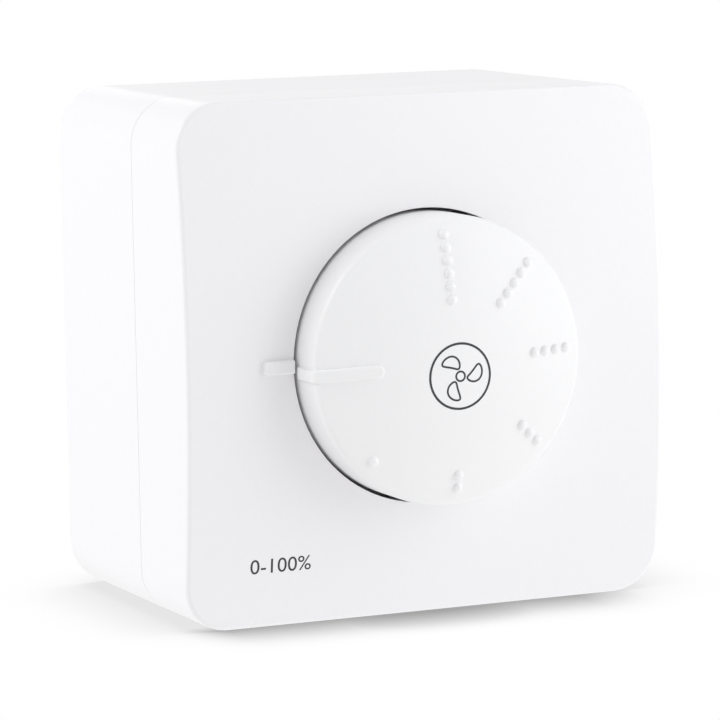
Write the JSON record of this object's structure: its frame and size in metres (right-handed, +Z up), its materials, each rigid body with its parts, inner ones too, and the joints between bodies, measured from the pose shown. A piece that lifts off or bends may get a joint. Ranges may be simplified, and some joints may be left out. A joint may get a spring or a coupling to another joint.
{
  "type": "fan speed control switch",
  "caption": "Surface-mounted rotary fan speed control: white moulded box with a bowed front, a large round knob sunk in a well, and the regulator inside.",
  "frame": {"origin": "centre of the flat back face, which lies against the wall", "axes": "+Y into the wall, so the front and the knob face -Y; +X to the right seen from the front; +Z up"},
  "size_m": [0.082, 0.0638, 0.082],
  "materials": {
    "housing_white": "satin moulded plastic with a fine texture",
    "cover_white": "satin moulded plastic",
    "knob_white": "satin moulded plastic",
    "grommet_rubber": "pale grey soft rubber",
    "seal_rubber": "matt black rubber",
    "zinc_steel": "zinc plated, dull",
    "spring_steel": "bare spring steel",
    "nickel_brass": "nickel plated, satin",
    "bare_brass": "bare, slightly dull",
    "turned_aluminium": "turned",
    "tub_plastic": "black moulded plastic",
    "phenolic": "brown phenolic moulding",
    "carbon_track": "carbon film on a brown disc",
    "nylon": "natural nylon",
    "terminal_green": "green moulded plastic",
    "clear_glass": "clear tube",
    "black_epoxy": "moulded epoxy",
    "tinned_metal": "tinned, dull",
    "ferrite": "grey-black sintered ferrite",
    "copper_wire": "enamelled copper",
    "capacitor_yellow": "moulded box",
    "resistor_tan": "lacquered body",
    "diac_blue": "lacquered body",
    "trimmer_blue": "moulded body",
    "trimmer_white": "moulded rotor",
    "board_green": "glass fibre board with green lacquer"
  },
  "bodies": {
    "housing": {"surface_housing": "housing_white", "front_cover": "cover_white", "cover_gasket": "seal_rubber", "wall_grommets": "grommet_rubber", "shaft_seal": "seal_rubber", "lock_washer": "zinc_steel", "bushing_nut": "nickel_brass", "pot_bushing": "nickel_brass", "pot_case": "phenolic", "pot_track": "carbon_track", "pot_lugs": "tinned_metal", "switch_case": "phenolic", "switch_lugs": "tinned_metal", "switch_contacts": "bare_brass", "support_plate": "zinc_steel", "plate_screws": "zinc_steel", "base_screws": "zinc_steel", "board_screws": "zinc_steel", "controller_base": "tub_plastic", "terminal_block": "terminal_green", "terminal_clamps": "bare_brass", "terminal_screws": "zinc_steel", "fuse_clips": "tinned_metal", "fuse_caps": "nickel_brass", "fuse_tube": "clear_glass", "fuse_wire": "tinned_metal", "triac_body": "black_epoxy", "triac_tab": "tinned_metal", "triac_screw": "zinc_steel", "triac_nut": "zinc_steel", "choke_core": "ferrite", "choke_winding": "copper_wire", "film_capacitor": "capacitor_yellow", "timing_capacitor": "capacitor_yellow", "resistors": "resistor_tan", "diac": "diac_blue", "trimmer_body": "trimmer_blue", "circuit_board": "board_green"},
    "rotor": {"knob": "knob_white", "knob_spring_clip": "spring_steel", "pot_shaft": "turned_aluminium", "pot_wiper": "nylon", "switch_cam": "nylon"},
    "trimmer": {"trimmer_rotor": "trimmer_white"}
  },
  "joints": [
    {"name": "knob_turn", "type": "hinge", "parent": "housing", "child": "rotor", "pos_m": [0, -0.05, 0], "axis": [0, 1, 0], "range_deg": [0, 270]},
    {"name": "trimmer_turn", "type": "hinge", "parent": "housing", "child": "trimmer", "pos_m": [0.01359, -0.026, 0.01661], "axis": [0, 1, 0], "range_deg": [-135, 135]}
  ]
}
